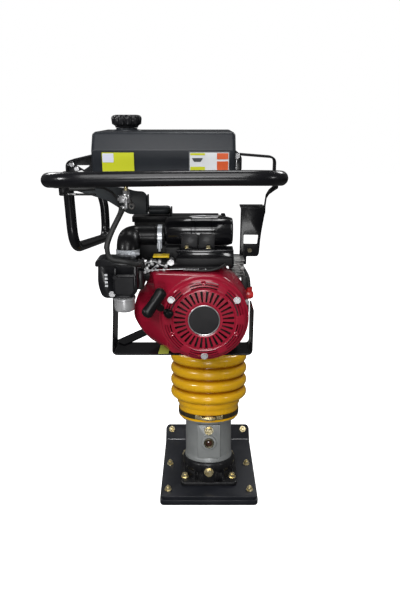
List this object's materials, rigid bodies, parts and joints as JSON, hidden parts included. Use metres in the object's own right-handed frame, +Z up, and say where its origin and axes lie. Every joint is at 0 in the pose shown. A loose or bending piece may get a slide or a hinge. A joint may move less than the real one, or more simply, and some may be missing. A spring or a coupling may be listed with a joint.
{
  "type": "jumping jack tamping rammer",
  "caption": "Upright petrol tamping rammer: a sprung foot in a bellows slides on a leaning leg below a geared crankcase, a recoil-start engine and a looped handle with fuel tank.",
  "frame": {"origin": "on the ground plane, under the centre of the foot casting", "axes": "+Z up, +Y the way the machine travels (toe of the shoe), +X to the operator's right; the operator stands at -Y"},
  "size_m": [0.4683, 0.7127, 1.0758],
  "materials": {
    "black_parts": "gloss black",
    "black_casting": "black paint over casting",
    "dark_steel": "worn satin black",
    "zinc_bolts": "yellow zinc",
    "cast_alloy": "cast",
    "bright_steel": "bright",
    "dark_bright_steel": "oiled",
    "sight_glass": "amber red window in a plug",
    "amber_bellows": "glossy amber",
    "red_paint": "deep red gloss",
    "black_rubber": "matte",
    "black_plastic": "moulded",
    "tank_plastic": "fine grain"
  },
  "bodies": {
    "foot": {"shoe_liner": "black_parts", "shoe_plate": "dark_steel", "shoe_bolt_rear_left": "zinc_bolts", "shoe_bolt_mid_left": "zinc_bolts", "shoe_bolt_rear_right": "zinc_bolts", "shoe_bolt_mid_right": "zinc_bolts", "foot_casting": "black_casting", "drain_bolt": "zinc_bolts", "leg_cylinder": "cast_alloy", "oil_plug": "zinc_bolts", "sight_glass": "sight_glass", "spring_tube": "bright_steel", "lower_spring": "dark_bright_steel", "upper_spring": "dark_bright_steel", "bellows": "amber_bellows", "lower_clamp": "dark_steel"},
    "crank": {"crank_gear": "dark_bright_steel"},
    "rotor": {"engine_shaft": "bright_steel", "flywheel": "cast_alloy", "clutch_drum": "dark_bright_steel"},
    "starter": {"starter_grip": "black_plastic", "starter_rope": "black_rubber"},
    "choke": {"choke_lever": "bright_steel"},
    "fuel_valve": {"fuel_lever": "black_parts"},
    "throttle": {"throttle_lever": "black_parts"},
    "cap": {"fuel_cap": "black_plastic"},
    "machine": {"handle_loop": "black_parts", "side_loop": "black_parts", "tank_strap_left": "black_parts", "tank_strap_right": "black_parts", "bracket_right": "black_parts", "bracket_left": "black_parts", "head_bracket": "black_parts", "engine_guard": "black_parts", "air_canister": "black_parts", "carb_cover": "black_parts", "throttle_perch": "black_parts", "upper_clamp": "dark_steel", "canister_saddle": "dark_steel", "crankcase": "cast_alloy", "crankcase_cover": "cast_alloy", "clutch_housing": "cast_alloy", "engine_block": "cast_alloy", "cylinder_barrel": "cast_alloy", "cylinder_head": "cast_alloy", "muffler": "cast_alloy", "guide_cylinder": "bright_steel", "piston_rod": "bright_steel", "float_bowl": "bright_steel", "carburettor": "bright_steel", "elbow_clamp": "bright_steel", "petcock": "bright_steel", "fan_housing": "red_paint", "recoil_cover": "red_paint", "spark_boot": "red_paint", "intake_elbow": "black_rubber", "fuel_hose": "black_rubber", "shock_mount": "black_rubber", "throttle_cable": "black_rubber", "fuel_tank": "tank_plastic"}
  },
  "joints": [
    {"name": "foot_stroke", "type": "slide", "parent": "foot", "child": "machine", "axis": [0, 0.1908, 0.9816], "range_m": [-0.02, 0.045], "stiffness_N_per_m": 60000, "deforming": ["bellows"]},
    {"name": "crank_turn", "type": "hinge", "parent": "machine", "child": "crank", "pos_m": [0, 0.052, 0.5588], "axis": [0, 1, 0], "continuous": true},
    {"name": "engine_turn", "type": "hinge", "parent": "machine", "child": "rotor", "pos_m": [-0.017, 0, 0.638], "axis": [0, 1, 0], "continuous": true},
    {"name": "starter_pull", "type": "slide", "parent": "machine", "child": "starter", "axis": [-0.6006, -0.4504, 0.6606], "range_m": [0, 0.05]},
    {"name": "choke_turn", "type": "hinge", "parent": "machine", "child": "choke", "pos_m": [-0.206, -0.3353, 0.748], "axis": [0, 1, 0], "range_deg": [-30, 60]},
    {"name": "fuel_valve_turn", "type": "hinge", "parent": "machine", "child": "fuel_valve", "pos_m": [-0.18, -0.3133, 0.9125], "axis": [0, 1, 0], "range_deg": [0, 90]},
    {"name": "throttle_turn", "type": "hinge", "parent": "machine", "child": "throttle", "pos_m": [-0.3, -0.345, 0.9245], "axis": [0, 0, 1], "range_deg": [-45, 10]},
    {"name": "cap_turn", "type": "hinge", "parent": "machine", "child": "cap", "pos_m": [-0.175, -0.285, 1.06], "axis": [0, 0, 1], "range_deg": [0, 90]}
  ],
  "couplings": [
    {"joint": "engine_turn", "follows": "crank_turn", "ratio": -5}
  ]
}
